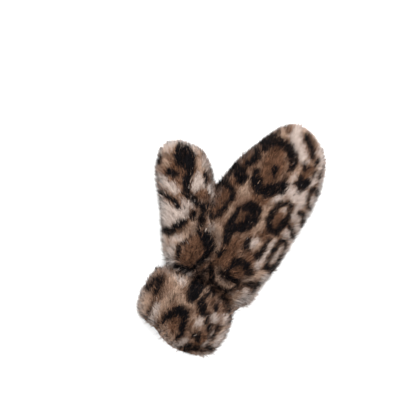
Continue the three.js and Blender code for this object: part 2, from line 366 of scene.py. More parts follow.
class Tree:
    """Adds nodes to a Geometry Nodes tree: a type, its settings, and its sockets' values."""

    def __init__(self, name, sizes):
        self.group = bpy.data.node_groups.new(name, "GeometryNodeTree")
        face = self.group.interface
        face.new_socket("Ground", in_out="INPUT", socket_type="NodeSocketGeometry")
        for title, value in sizes.items():
            kind = "NodeSocketInt" if isinstance(value, int) else "NodeSocketFloat"
            face.new_socket(title, in_out="INPUT", socket_type=kind).default_value = value
        face.new_socket("Pile", in_out="OUTPUT", socket_type="NodeSocketGeometry")
        self.inputs = self.group.nodes.new("NodeGroupInput").outputs

    def add(self, kind, settings=None, **sockets):
        node = self.group.nodes.new(kind)
        for key, value in (settings or {}).items():
            setattr(node, key, value)
        for key, value in sockets.items():
            self.put(node.inputs[int(key[1:])] if key[0] == "_" else node.inputs[key], value)
        return node

    def put(self, socket, value):
        if isinstance(value, bpy.types.NodeSocket):
            self.group.links.new(value, socket)
        else:
            socket.default_value = value

    def math(self, operation, *values):
        sockets = {f"_{i}": value for i, value in enumerate(values)}
        return self.add("ShaderNodeMath", {"operation": operation}, **sockets).outputs[0]

    def vector(self, operation, *values, **more):
        sockets = {f"_{i}": value for i, value in enumerate(values)}
        node = self.add("ShaderNodeVectorMath", {"operation": operation}, **sockets, **more)
        return node.outputs[0]

    def named(self, name, kind):
        return self.add("GeometryNodeInputNamedAttribute", {"data_type": kind}, Name=name).outputs[0]

    def random(self, low, high, seed, kind="FLOAT"):
        node = self.add("FunctionNodeRandomValue", {"data_type": kind})
        for title, value in (("Min", low), ("Max", high), ("Seed", seed)):
            for socket in node.inputs:
                if socket.name == title and socket.enabled:
                    self.put(socket, value)
        return [socket for socket in node.outputs if socket.enabled][0]


def pile_tree(hair, material):
    """Grows hairs on a ground: they lie along its nap, lean together in tufts, and wander."""
    sizes = {"Hairs per m2": 1.0e6, "Seed": 1, "Length": 0.0080, "Shortest": 0.65, "Longest": 1.08,
             "Tall": 0.75, "Width": 0.00059, "Slimmest": 0.7, "Widest": 1.2, "Lift": 0.8,
             "Wander": 0.34, "Waver": 2.6, "Wavers per m": 70.0, "Twist": 0.9, "Tuft Size": 0.0024,
             "Tufting": 0.35, "Tuft Turn": 0.6, "Floor": 0.0003}
    tree = Tree("pile", sizes)
    size = {title: tree.inputs[title] for title in sizes}
    density = tree.math("MULTIPLY", tree.named("cover", "FLOAT"), size["Hairs per m2"])
    spread = tree.add("GeometryNodeDistributePointsOnFaces", {"distribute_method": "RANDOM"},
                      Mesh=tree.inputs["Ground"], Density=density, Seed=size["Seed"])
    at = tree.add("GeometryNodeInputPosition").outputs[0]
    nap_way = tree.named("nap", "FLOAT_VECTOR")
    rise = tree.named("rise", "FLOAT_VECTOR")
    # Hairs of a tuft lean together towards a place over the tuft's middle.
    per_tuft = tree.math("DIVIDE", 1.0, size["Tuft Size"])
    cell = tree.add("ShaderNodeTexVoronoi", {"voronoi_dimensions": "3D", "feature": "F1"},
                    Vector=at, Scale=per_tuft, Randomness=1.0)
    pull = tree.vector("SUBTRACT", cell.outputs["Position"], at)
    pull = tree.vector("SCALE", pull, Scale=tree.math("MULTIPLY", size["Tufting"], per_tuft))
    waver = tree.add("ShaderNodeTexNoise", {"noise_dimensions": "3D"}, Vector=at,
                     Scale=size["Wavers per m"], Detail=2.0).outputs["Color"]
    waver = tree.vector("SUBTRACT", waver, (0.5, 0.5, 0.5))
    waver = tree.vector("SCALE", waver, Scale=size["Waver"])
    stray = tree.random((-1, -1, -1), (1, 1, 1), 7, "FLOAT_VECTOR")
    stray = tree.vector("ADD", waver, stray)
    stray = tree.vector("SCALE", stray, Scale=size["Wander"])
    turned = tree.vector("SUBTRACT", cell.outputs["Color"], (0.5, 0.5, 0.5))
    turned = tree.vector("SCALE", turned, Scale=size["Tuft Turn"])
    stray = tree.vector("ADD", stray, turned)
    lift = tree.vector("SCALE", rise, Scale=size["Lift"])
    lean = tree.vector("ADD", nap_way, lift)
    lean = tree.vector("ADD", lean, pull)
    lean = tree.vector("ADD", lean, stray)
    lean = tree.vector("NORMALIZE", lean)
    turn = tree.add("FunctionNodeAlignRotationToVector", {"axis": "Z"}, Vector=lean).outputs[0]
    turn = tree.add("FunctionNodeAlignRotationToVector", {"axis": "Y", "pivot_axis": "Z"},
                    Rotation=turn, Vector=rise).outputs[0]
    twist = tree.random(tree.math("MULTIPLY", size["Twist"], -1.0), size["Twist"], 11)
    twist = tree.add("FunctionNodeAxisAngleToRotation", None, Axis=(0.0, 0.0, 1.0),
                     Angle=twist).outputs[0]
    turn = tree.add("FunctionNodeRotateRotation", {"rotation_space": "LOCAL"}, Rotation=turn,
                    **{"Rotate By": twist}).outputs[0]
    # A few hairs stand out above the rest.
    tall = tree.math("POWER", tree.random(0.0, 1.0, 19), 6.0)
    long = tree.random(size["Shortest"], size["Longest"], 13)
    long = tree.math("MULTIPLY_ADD", tall, size["Tall"], long)
    long = tree.math("MULTIPLY", long, size["Length"])
    long = tree.math("MULTIPLY", long, tree.named("long", "FLOAT"))
    wide = tree.random(size["Slimmest"], size["Widest"], 17)
    wide = tree.math("MULTIPLY", wide, size["Width"])
    scale = tree.add("ShaderNodeCombineXYZ", None, X=wide, Y=long, Z=long).outputs[0]
    kept = tree.add("GeometryNodeStoreNamedAttribute",
                    {"data_type": "FLOAT_VECTOR", "domain": "POINT"}, Geometry=spread.outputs[0],
                    Name="root", Value=at).outputs[0]
    kept = tree.add("GeometryNodeStoreNamedAttribute",
                    {"data_type": "FLOAT_VECTOR", "domain": "POINT"}, Geometry=kept,
                    Name="tuft", Value=cell.outputs["Color"]).outputs[0]
    shape = tree.add("GeometryNodeObjectInfo", None, Object=hair).outputs["Geometry"]
    hairs = tree.add("GeometryNodeInstanceOnPoints", None, Points=kept, Instance=shape,
                     Rotation=turn, Scale=scale).outputs[0]
    solid = tree.add("GeometryNodeRealizeInstances", None, Geometry=hairs).outputs[0]
    # Hairs under the mitten lie pressed on the table.
    parts = tree.add("ShaderNodeSeparateXYZ", None, Vector=at).outputs
    above = tree.math("MAXIMUM", parts["Z"], size["Floor"])
    place = tree.add("ShaderNodeCombineXYZ", None, X=parts["X"], Y=parts["Y"], Z=above).outputs[0]
    solid = tree.add("GeometryNodeSetPosition", None, Geometry=solid, Position=place).outputs[0]
    solid = tree.add("GeometryNodeSetMaterial", None, Geometry=solid, Material=material).outputs[0]
    tree.group.links.new(solid, tree.group.nodes.new("NodeGroupOutput").inputs[0])
    return tree.group


def grow(name, base, group, **sizes):
    """Runs the pile tree on a part of the ground and keeps the hairs as one plain mesh."""
    made = add_object(name, base)
    modifier = made.modifiers.new("pile", "NODES")
    modifier.node_group = group
    for socket in group.interface.items_tree:
        if socket.in_out == "INPUT" and socket.name in sizes:
            modifier[socket.identifier] = sizes[socket.name]
    bpy.context.view_layer.update()
    made.data = applied(made, name)
    return made


# The print. Each mark is a chain of dots, three numbers a dot: X, Y and half-width. A half-width
# below zero leaves only a faint streak.

BLACK_MARKS = [
    # thumb: the large spot near the tip and the tail that runs down from it
    (-102, 172.5, 4.8, -98.5, 169.5, 7, -91, 166.5, 9.4, -86, 161.5, 7.2),
    (-99, 167, 5, -98, 161, 5.6, -91, 160, 6, -85, 161, 6.5),
    (-85, 159, 4.4, -80, 154, 3.4, -78.5, 148, 3.6, -77, 142, 4.4, -73, 136, 2.8, -67, 132.5, 2.6),
    (-67, 132.5, 3, -60, 130, 2.4, -52, 130, 2.6, -45, 131.5, 2.4),
    (-99.5, 141, 3, -98, 143, 3.6, -92, 143.5, 3.2), (-74, 131, 1, -68, 128.8, 1.4),
    (-66, 164, 0.5, -61, 158, 1.2, -58, 153, 1), (-116, 151, 1.4, -114, 145, 1.6),
    # thumb: streaks over the ball
    (-99, 116.5, 1.2, -94, 118.5, 1.6, -86, 119.5, 1.8, -78, 118.5, 2, -71, 116, 2),
    (-70, 86.5, 3.2, -65, 88, 3.6, -62, 94, 3.2, -59, 101.5, 3.6, -56.5, 106, 2.2),
    (-52.5, 118, 2.2, -52, 114, 2.6), (-43, 121, 2.6, -41, 115, 2.8, -40, 110, 2),
    (-47, 129, 2.4, -44, 124, 2.2), (-45, 134, 2.2, -40, 137, 2),
    # the arc at the ball's edge and its lower rim
    (-37, 104, 2.4, -32, 104, 4.8, -26, 102.5, 6.2, -19.5, 97.5, 5.4, -17, 90, 4, -17, 83, 3,
     -19, 76, 2.4), (-40, 58.5, 2, -31, 59.5, 2.2, -23, 63, 2.4, -20, 70, 2),
    (-43, 96, 0.3, -45, 88, 0.8, -48, 80, 1.2, -45.5, 74, 1.6, -44, 68, 0.8),
    # hand: the largest ring, at the fingertips
    (-42, 208, 2, -36, 218, 2.2, -28, 230, 2.6), (-45, 182, 3.5, -41, 185, 5),
    (-23, 218, 3.5, -26, 223, 5.6, -22, 229, 6.4, -13, 232, 5, -5, 233.5, 5, 2.2, 230.5, 5.4,
     8.5, 224.5, 4.6, 12.5, 218, 3.6, 13, 212, 2),
    (13, 202, 1.4, 15, 197, 3.6, 13.5, 190, 5.8, 7, 185, 6.6, 2, 178, 6, -5, 177, 5, -10.5, 180, 6.8,
     -15, 187, 4.6, -18, 192, 3), (-3, 206.5, 2.8, -1, 200, 3, 1.5, 196, 1.4),
    (-24, 236, 1.2, -20, 239.5, 1), (-30, 213, 2.6, -26, 207, 3.4, -28, 199, 3.6, -31, 193, 2.6),
    (-42, 178, 1.4, -42, 172, 1.2), (-38, 186, 4, -33, 182, 7, -29, 179, 6.4, -27, 175, 4.4),
    (-46, 163, 3.4, -40, 164.5, 3.6, -33, 162.5, 2.8, -27, 158.5, 2.8, -26, 153, 2.4),
    (-46, 159, 2.6, -45.5, 155, 1.8), (-28, 149, 1.8, -27, 142, 2.2, -28, 135, 3, -31, 127.5, 2.6),
    (-37, 129, 2.4, -34, 126, 2.2),
    # hand: the ring below it and the streak that leaves it for the wrist
    (-9.5, 151.5, 3.4, -3.5, 157, 5, 2, 156.5, 6.2, 4.5, 149, 6.2, 3.5, 141, 6.2, 1, 133.5, 6,
     -5, 129.5, 5, -10, 127, 4.8, -9.5, 119, 4.4, -7, 110, 3.6),
    (-14, 148, 2.4, -13, 140, 3.2, -14, 133, 3, -12, 126, 4), (-4, 101, 2.6, -6.5, 95, 2.6),
    # hand: the ring at the right of its middle
    (20, 172, 1.8, 24.5, 177, 2.4, 29.5, 180.5, 2.2, 33, 179.5, 2.2, 35, 174, 1.8, 36.5, 167.5, 1.8,
     36.5, 161, 3, 36, 154, 3, 34, 147.5, 2.2, 28, 146, 4, 22.5, 150.5, 2.6, 21, 157, 3.2,
     20.5, 164, 2.8, 21.5, 170, 2), (38, 147, 1, 34, 143.5, 1.2),
    # hand: marks along the right edge, from the tip down
    (7.5, 254, 2, 11.5, 250, 3.2, 18, 246, 2.8, 23, 241, 2.2, 27, 235, 1.6),
    (33, 237, 1.2, 33, 232, 1.4), (36.5, 226, 1, 37.5, 220, 1),
    (22, 225.5, 1.8, 25, 222.5, 2, 28, 225, 1.2),
    (27, 211, 2.6, 29, 205.5, 4.2, 32, 201, 3.8, 34, 205, 4, 35, 211, 3.2), (42, 234, 0.7),
    (43, 227, 0.7, 44.5, 221, 0.9), (44, 207.5, 2.4, 48, 207, 2.4, 52, 204.5, 1.8),
    (44.5, 204, 0.6, 45, 198, 0.3, 47, 192, 0.4, 51, 189, 1.2, 53, 188, 1),
    (46.5, 178, 2.6, 50, 178, 1.8, 53, 174, 1.4, 55, 169, 1.4),
    (40, 162.5, 2, 44, 160.5, 2.2, 48.5, 157, 2, 53.5, 153, 1.6),
    (46, 109, 2.6, 43.6, 116, 1.4, 43, 125, 1.2, 43.2, 134, 1.4, 43.5, 142, 2, 47, 145.5, 2,
     50.5, 141, 1.4, 53.5, 134, 1.1, 54, 126, 1, 53, 117, 1.3, 51.5, 109, 2.4, 46, 109, 2.6),
    (33, 139, 0.5, 31.5, 132, 0.8, 32, 125, 1.4, 31.5, 118, 3, 30, 114, 3.2),
    (12.5, 128, 1.6, 12.5, 122, 2.4, 14.5, 117, 3, 18, 115.5, 1.6),
    (2, 119, -1, 4, 109, -0.8, 7, 101, -1), (21, 112, -0.8, 12, 109, -0.8),
    # hand: the ring by the wrist
    (12, 83, 2.4, 13, 90, 2.8, 14, 97, 4, 19, 100.5, 4.8, 25, 100.5, 4.6, 30.5, 96, 4.6, 34.5, 94, 2.4),
    (4, 80, 1.4, 11, 78, 2.2, 19, 78.5, 3, 27, 79, 2.2),
    (33, 80, 0.6, 38, 83.5, 1.4, 43, 84.5, 2.2, 47, 87.5, 2.4, 48, 91, 1.6), (47, 83, 1, 48, 78, 0.4),
    (31, 75.5, 1.4, 27.5, 71.5, 0.8, 23.5, 67, 0.8),
    (4, 65, 1.4, 11, 64, 1.6, 18, 64, 1.4, 22.5, 62, 1), (1, 71, 1, 0, 62, 2),
    (-8.5, 83, 1.6, -5, 77, 1.8, -1.5, 70, 2), (-9, 74, 0.8, -9.5, 65, 1.2), (7, 58, 2, 13, 55.5, 1.4),
    (22, 57.5, 1.8, 28, 55.5, 1.8, 33, 52.5, 1.6),
    # wrist and cuff
    (-8.5, 58, 5.4, -8.5, 50, 6.8, -7, 43, 6.2, -6, 39.5, 4), (-3.5, 55, 3, -3.5, 47, 2.4),
    (4, 45, 2, 5.5, 41, 4, 8.5, 36.5, 5, 12, 32.5, 3, 17, 33, 2, 20.5, 28, 2, 21.5, 25, 1.4),
    (20, 46.5, 2, 23, 42.5, 2.4), (36, 48.5, 2),
    (-50, 41, 1.4, -48, 36, 2.2, -45, 30, 2.2, -43, 23, 1.6),
    (-41.5, 16, 0.4, -40, 8, 0.4, -39, 0, 0.4, -37.5, -7, 0.4),
    (-51.5, 36, 1.6, -52.5, 30, 1.6, -53.5, 23, 1.4), (-46, 42, 1.4, -44, 35, 1.8),
    (-22, -3, 0.6, -20.5, 2, 1.6, -19.5, 8, 2.6, -16, 16, 3.6, -13, 22, 4.4, -8, 20, 5, -5, 25, 3,
     -2, 20, 3.8, -0.5, 13, 3.6, 1.5, 7, 3, 4, 1, 2.4, 3, -5, 1.8), (43, 38, 0.6), (41, 44.5, 1.4),
    (5, 50, 1.6, 7, 53, 1.4), (26.5, 24, 2.4, 27.5, 19, 1.6), (35, 28.5, 2, 33.5, 24, 1.4),
    (36, 18, 1, 35, 13, 0.8), (17, 7, 3, 21, 8.5, 3, 22.5, 4.5, 2.4), (36.5, 1.5, 2.6, 42, 3, 2.2),
    (35, -3, 1.6), (30, -1.5, 1.6, 26.5, -5, 2.4, 23.5, -8, 2), (18, -5, 2.2, 16.5, -12, 3, 15, -18, 3),
    (20.5, -12, 2, 21, -17, 2), (42, 4, 1),
]

BROWN_MARKS = [
    (-32, 94, 10, -31, 82, 12, -31, 71, 10), (-91, 151, 6, -100, 151, 5, -104, 150, 2), (-85, 146, 6),
    (-104, 143, 3), (-82, 156, 9), (-84, 138, 3.4), (-101, 138, 2.4, -94, 138.5, 2.4), (-72, 122, 1.6),
    (-57, 141, 6, -49, 141, 5), (-61, 166, 3, -56, 158, 3),
    (-11, 222, 8, -6, 208, 13, -5, 195, 11, -3, 186, 6), (-36, 205, 5, -36, 194, 5, -33, 190, 6),
    (-36, 170, 4, -30, 170, 4), (-37, 154, 8, -34, 144, 7, -34, 136, 6), (-5, 148, 6, -5, 139, 6),
    (27, 163, 5, 31, 156, 6, 30, 150, 5), (31, 226, 4, 30, 219, 5, 29, 213, 5),
    (22, 112, 4, 25, 107, 5), (3, 117, 6, 2, 106, 9, 4, 94, 9, -3, 88, 7),
    (23, 91, 7, 17, 85, 6, 26, 86, 6), (43, 163, 2.6), (25, 61, 3, 30, 58, 3), (14, 60, 3),
    (-15.5, 56, 2.6, -15.5, 68, 3.6, -13, 79, 2.4), (-6, 70, 2), (24, 50, 4, 33, 48, 3), (14, 49, 4),
    (-18, 46, 2.4), (-9, 12, 6, -8, 5, 7, -5, -2, 3), (8, 29, 2), (7, 13, 2.2, 8, 20, 1.4),
    (16, 13.5, 2.4), (27, 13, 3.4, 27, 6, 4, 24, 1, 4), (25, 137, 5, 22, 140, 4), (46, 213, 1.6),
    (8, 168, 4, -4, 167, 5), (-14, 251, 2, -9, 249, 2.4), (8, 64, 3, 18, 63, 3),
    (10, 257, 1.6, 17, 252, 1.6, 24, 246, 1),
]

CREAM_MARKS = [
    # hand
    (-4, 255, 5, -2, 248, 7, 4, 241, 6.4, 12, 235, 6.4, 19, 229, 5), (29, 250, 2.5, 38, 240, 2.5),
    (39, 236, 2.5, 41, 230, 2.5), (-29, 117, 2.8),
    (40, 223, 2.8, 40, 216, 3.4, 39.5, 208, 2.8, 47, 226, 2), (50, 217, 2.5, 53, 209, 2, 56, 198, 2),
    (24, 194, 6, 33, 191, 7, 39.5, 197, 5, 41, 189, 5), (19, 196, 2, 20, 204, 2, 20, 210, 1),
    (16, 178, 4, 19, 185, 4), (42, 172, 4, 49, 171, 3), (30, 172.5, 1.8), (40, 180, 3, 41, 186, 3),
    (49.5, 199, 1.8, 50.5, 194, 1.6), (52, 165, 3, 45, 150, 4, 50, 149, 4),
    (58, 168, 2.5, 58, 156, 2.5),
    (29, 246, 2.5, 33, 243, 3, 38, 236, 3.5, 43, 228, 3, 48, 218, 3, 51, 208, 2.5, 54, 198, 2.5,
     56, 186, 3, 58, 174, 3, 59, 160, 3, 59, 148, 3), (57, 138, 1.6, 58, 124, 1.4, 57, 112, 1.4),
    (53.5, 101, 3.4, 52, 90, 3), (37.5, 136, 2.4, 37.5, 122, 3.2, 35.5, 112, 3.4, 36.5, 104, 2.8),
    (48, 136, 1.2, 48, 126, 2, 48, 117, 1.6), (20, 127, 3.6, 18.5, 121.5, 3.6),
    (41.5, 75.5, 4, 44.5, 69, 5.6, 42, 63, 4),
    # thumb
    (-106, 175, 3, -100, 179, 2.4, -92, 178, 2, -85, 174, 2),
    (-73, 173, 2, -66, 168, 2.4, -61, 163, 1.4), (-114, 170, 4, -114, 163, 2.4),
    (-103, 132, 4.4, -95, 131, 5.2, -87, 130, 5.4, -81, 128.5, 2.4),
    (-70, 155, 4, -65, 149, 8, -64, 142, 4.5), (-57, 157, 2.4, -51, 150, 3, -46, 143, 3),
    (-70, 123, 3, -65, 123.5, 4, -60, 127, 3), (-83, 108, 6, -76, 101, 8, -72, 94, 5),
    (-66, 106, 7, -63, 115, 6, -72, 108, 7), (-55, 75, 4, -53, 66, 5.4, -51, 57, 4.4),
    (-58, 84, 2.4, -51, 88, 2.6), (-96, 116, 4, -88, 104, 5, -80, 93, 3),
    # cuff
    (-33, 50.5, 2, -27, 49.5, 3.4, -23, 49, 2.4),
    (-35, 14, 2.4, -34, 5, 4, -33, -4, 4.4, -31, -11, 3.6), (13, 25, 3.4, 14, 20.5, 4), (26, 34, 5),
    (43, 22, 1.6, 42.5, 15, 2.2, 42, 8, 2), (12, -2.5, 2.4, 9.5, -8, 3.8, 5, -15, 4.4),
    (31.5, 22, 1.2, 32.5, 14, 2, 33, 7, 2.4, 31, 2, 2), (35.5, 42, 3, 38, 37.5, 2.6),
]

TAN_MARKS = [
    # hand
    (-14, 242, 4), (6, 258, 3, 22, 254, 3), (25.5, 124, 3.6, 24, 130, 3), (29, 230, 3),
    (29, 173, 3.4, 27, 169, 3), (-21, 184, 2, -19.5, 176, 2.6, -20.5, 167, 2.8, -15, 167, 1.2),
    (37, 141, 2.5, 36, 112, 3), (48, 138, 2.2, 48, 128, 2.8, 48.5, 118, 2.8),
    (14, 142, 4, 15, 150, 4, 14, 158, 3), (-20, 142, 3, -18, 136, 3), (43, 98, 4, 47, 102, 4),
    (35, 69, 3), (31, 64, 2.4, 36, 60, 3), (12, 52, 2), (24, 49, 2), (53, 100, 3, 55, 92, 3),
    (1, 85, 1.4, 3, 76, 1.8, 8, 71, 2.2, 16, 69, 2.6, 23, 70.5, 2.2, 27, 75, 1.4),
    (-26, 116, 7, -20, 113, 5), (-14, 103, 2, -11, 96, 2), (49, 96, 2.5, 51, 90, 2),
    (34, 87, 3, 38, 90, 3.4), (60, 150, 3, 58, 143, 3, 56.5, 130, 1.4, 56, 118, 1.4), (50, 183, 2),
    (38.5, 152, 2.4), (36, 229, 2.4, 34, 222, 2.4), (19, 200, 3, 20, 208, 3.6, 19, 220, 3.4),
    (-14, 205, 1.6, -16, 197, 1.6), (52, 84, 3, 50, 72, 3), (10, 166, 3, 15, 168, 3),
    # thumb
    (-120, 150, 3, -117, 163, 4, -108, 176, 4, -96, 181, 3, -85, 177, 3),
    (-63, 170, 2.6, -57, 163, 2.6, -53, 157, 2.2), (-60, 84, 4, -54, 84, 5, -50, 89, 4, -49, 96, 3),
    (-55, 77, 3, -50, 72, 4, -49, 63, 5, -45, 58, 3), (-46, 108, 3, -43, 103, 3), (-48, 116, 2),
    (-74, 84, 3, -64, 74, 3, -56, 62, 3), (-110, 148, 3, -104, 147, 3), (-76, 168, 3, -70, 163, 3),
    # cuff
    (-34, 50, 5, -26, 52, 6, -20, 49, 5),
    (-26, 42, 4, -28, 32, 2.6, -29, 22, 2.2, -31, 12, 2.6, -30, 3, 3), (-20, 36, 3, -13, 30, 3),
    (-4, 34.5, 3), (42.5, 28, 2.6, 43, 18, 2.6, 41, 8, 2.4), (7, -17, 2),
    (-13, 84, 1.8, -19, 74, 2, -22, 63, 1.8), (-18, -8, 4, -10, -11, 5.4, -1, -11, 4),
    (-14, -2, 3, -5, -6, 3), (4.5, 61, 1.4, 2.5, 52, 1.8, 0.5, 45, 1.8), (34, 20, 1.6), (39, -5, 2),
    (34, -10, 3), (8, 28, 3, 10, 18, 4, 15, 14, 3), (-47, 10, 4, -46, 0, 4.6, -48, -4, 3),
    (-52, 20, 2.6, -52, 4, 2.6), (-12, -13, 2, -3, -14, 2),
]

# Where black and pale hairs stand mixed.
GRIZZLED_MARKS = [
    (-48, 43, 5, -45, 35, 6, -42, 27, 4, -41, 18, 2), (-54, 31, 4, -55, 20, 3.4),
    (-26, 34, 3, -24, 24, 2.4), (-38, 34, 3, -36, 24, 3), (-30, 44, 2.4),
    (33, 26, 4, 34, 17, 4, 34, 8, 3), (42, 44, 2.4, 42, 25, 2), (30, 50, 5, 22, 52, 4),
    (8, 78, 3, 16, 76, 3), (4, 64, 3, 18, 63, 3), (18, 46, 4, 12, 44, 3), (-6, 149, 3, -4, 140, 3.4),
    (-14, 250, 3, -10, 248, 3), (30, 222, 3), (-21, 242, 3), (11, 257, 3, 20, 250, 3),
    (-41, 206, 3.4, -37, 198, 3.4), (-43, 128, 4, -40, 118, 4, -44, 110, 3), (33, 134, 2, 33, 122, 2.4),
    (38, 0, 4), (-117, 146, 3), (44, 200, 2, 46, 190, 2), (-12, 70, 3),
]


# Places further from a mark than the reach aren't measured, and count as this far outside.
MARK_REACH = 5
FAR_OUTSIDE = -9.0


def depth_in(places, marks):
    """How far inside the nearest of the marks each place lies, in millimetres."""
    depth = np.full(len(places), FAR_OUTSIDE)
    for mark in marks:
        dots = np.array(mark, float).reshape(-1, 3)
        ends = dots[1:] if len(dots) > 1 else dots
        for a, b in zip(dots, ends):
            reach = max(a[2], b[2]) + MARK_REACH
            low, high = np.minimum(a, b)[:2] - reach, np.maximum(a, b)[:2] + reach
            near = np.nonzero(((places > low) & (places < high)).all(1))[0]
            if not len(near):
                continue
            run = b[:2] - a[:2]
            share = np.clip((places[near] - a[:2]) @ run / max(run @ run, 1e-6), 0, 1)
            gap = np.linalg.norm(places[near] - a[:2] - share[:, None] * run, axis=1)
            depth[near] = np.maximum(depth[near], a[2] + share * (b[2] - a[2]) - gap)
    return depth


def common_marks(rows=13, columns=7, row_step=24, column_step=25):
    """Broken rings with brown middles and small spots between them, for what the chart leaves."""
    draw = np.random.default_rng(41)
    black, brown, cream = [], [], []
    for row in range(rows):
        for column in range(columns):
            x = -80 + column_step * column + column_step // 2 * (row % 2) + draw.uniform(-3, 3)
            y = -22 + row_step * row + draw.uniform(-3, 3)
            radius = draw.uniform(7, 9.5)
            start = draw.uniform(0, 2 * math.pi)
            brown.append((x, y, radius * 0.8))
            for part in range(draw.integers(2, 4)):
                turn = draw.uniform(1.2, 2.0)
                dots = []
                for k in range(4):
                    angle = start + turn * k / 3
                    dots += [x + radius * math.cos(angle), y + 1.15 * radius * math.sin(angle),
                             draw.uniform(2, 3.4)]
                black.append(tuple(dots))
                start += turn + draw.uniform(0.5, 0.9)
            between = x + column_step / 2
            black.append((between + draw.uniform(-2, 2), y + draw.uniform(-3, 3),
                          draw.uniform(1.4, 2.6)))
            cream.append((between, y + 8, 3.0))
    return {"black": black, "brown": brown, "cream": cream, "tan": cream}


CHART = {"black": BLACK_MARKS, "brown": BROWN_MARKS, "cream": CREAM_MARKS, "tan": TAN_MARKS}
COMMON = common_marks()
WAVES = 9


def waves(places, size, seed):
    """A smooth random height for each place, between about -1 and 1."""
    draw = np.random.default_rng(seed)
    total = np.zeros(len(places))
    for _ in range(WAVES):
        angle = draw.uniform(0, 2 * math.pi)
        rate = 2 * math.pi / (size * draw.uniform(0.6, 1.6))
        step = places[:, 0] * math.cos(angle) + places[:, 1] * math.sin(angle)
        total += np.sin(step * rate + draw.uniform(0, 2 * math.pi))
    return total / math.sqrt(WAVES)


# Primes that scatter neighbouring lanes, levels and lengths of streaks over the random numbers.
LANE_STEP = 7919
LEVEL_STEP = 104729
LENGTH_STEP = 1299709
LOTS = 65536


def streaks(points, way, width, length, seed):
    """A random number from 0 to 1 for each point, alike along short streaks that follow a way."""
    table = np.random.default_rng(seed).uniform(0, 1, LOTS)
    side = np.cross(way, UP)
    places = points[:, :2] / MM
    across = points @ side / (width * MM) + 0.5 * waves(places, 9, seed)
    level = points[:, 2] / (2 * width * MM)
    lane = (np.floor(across).astype(np.int64) * LANE_STEP
            + np.floor(level).astype(np.int64) * LEVEL_STEP)
    along = points @ way / (length * MM) + table[lane % LOTS]
    return table[(lane + np.floor(along).astype(np.int64) * LENGTH_STEP) % LOTS]


# How the marks of each dye are drawn, in millimetres.
EDGES = {
    # dye: (softness of the edge, how far hairs stray over it, growth beyond the charted width)
    "black": (1.3, 0.7, 0.9),
    "brown": (2.0, 1.6, 0.3),
    "cream": (2.4, 1.6, 0.3),
    "tan": (2.6, 1.6, 1.0),
}
# Waves shift the marks: how long the broad and the fine ones are, how much the fine ones weigh, and
# how far they all shift the chart and the common pattern, in millimetres.
BROAD_WAVE = 9
FINE_WAVE = 4
FINE_WEIGHT = 0.6
CHART_WARP = 0.7
COMMON_WARP = 1.6
# How far the marks of the edge run on down the sides, and between which levels of the normals.
SIDE_RUN = 4.0
SIDE_START = 0.3
SIDE_FULL = -0.5
# How many hairs lie astray, and how far.
ASTRAY_SHARE = 0.07
ASTRAY_REACH = 4
# The chart holds where normals point further up than this level, which wavers a little.
CHART_LEVEL = -0.3
CHART_WAVER = 0.08
# How strong the brown edge of the black marks is, where it starts and is full, and how far hairs
# stray over it.
HALO = 0.75
HALO_START = -4.0
HALO_FULL = -0.8
HALO_STRAYING = 0.8
# Where black and pale hairs stand mixed: how soft the edge is, how many hairs are darkened, and how
# black they are at least.
MIXED_EDGE = 2
MIXED_SHARE = 0.5
MIXED_BLACK = 0.55


def print_at(points, outwards, jitter, seed):
    """How black, brown, cream and tan the print is at points of a surface with these normals."""
    upwards = outwards[:, 2]
    count = len(points)
    places = points[:, :2] / MM - HEM_MIDDLE
    warp = np.stack([waves(places, BROAD_WAVE, 3), waves(places, BROAD_WAVE, 4)], 1)
    warp += FINE_WEIGHT * np.stack([waves(places, FINE_WAVE, 5), waves(places, FINE_WAVE, 6)], 1)
    draw = np.random.default_rng(seed)
    scatter = draw.normal(0, 1, count)
    side = unit(np.concatenate([outwards[:, :2], np.full((count, 1), 1e-6)], 1))[:, :2]
    down = (1 - smooth_step(SIDE_FULL, SIDE_START, upwards))[:, None]
    charted = places + CHART_WARP * warp - SIDE_RUN * down * side
    common = places + COMMON_WARP * warp
    common[:, 0] += 0.5 * points[:, 2] / MM * np.sign(places[:, 0])
    astray = draw.uniform(0, 1, count) < ASTRAY_SHARE * jitter
    charted[astray] += draw.normal(0, ASTRAY_REACH, (astray.sum(), 2))
    on_chart = upwards + CHART_WAVER * waves(places, 12, 8) > CHART_LEVEL
    shares = []
    for dye, (softness, straying, growth) in EDGES.items():
        depth = np.where(on_chart, depth_in(charted, CHART[dye]), depth_in(common, COMMON[dye]))
        depth = depth + growth + jitter * straying * scatter
        shares.append(smooth_step(-softness, softness, depth))
    black, brown, cream, tan = shares
    # Black marks have a brown edge, which is weaker in cream and tan.
    halo = np.where(on_chart, depth_in(charted, BLACK_MARKS), FAR_OUTSIDE)
    halo = HALO * smooth_step(HALO_START, HALO_FULL, halo + HALO_STRAYING * scatter)
    brown = np.maximum(brown, halo * (1 - 0.5 * cream - 0.2 * tan * (1 - cream)))
    mixed = np.where(on_chart, depth_in(charted, GRIZZLED_MARKS), FAR_OUTSIDE)
    mixed = smooth_step(-MIXED_EDGE, MIXED_EDGE, mixed)
    darkened = draw.uniform(0, 1, count) < MIXED_SHARE * mixed
    black = np.where(darkened, MIXED_BLACK + 0.4 * black, black)
    return black, brown, cream, tan


# The finishes.


class Sock:
    """A shader socket that can be used in sums."""

    def __init__(self, tree, socket):
        self.tree = tree
        self.socket = socket

    def _sum(self, operation, a, b):
        return self.tree.add("ShaderNodeMath", {"operation": operation}, _0=a, _1=b)

    def __add__(self, other):
        return self._sum("ADD", self, other)

    def __mul__(self, other):
        return self._sum("MULTIPLY", self, other)

    def __rsub__(self, other):
        return self._sum("SUBTRACT", other, self)

    __radd__ = __add__
    __rmul__ = __mul__


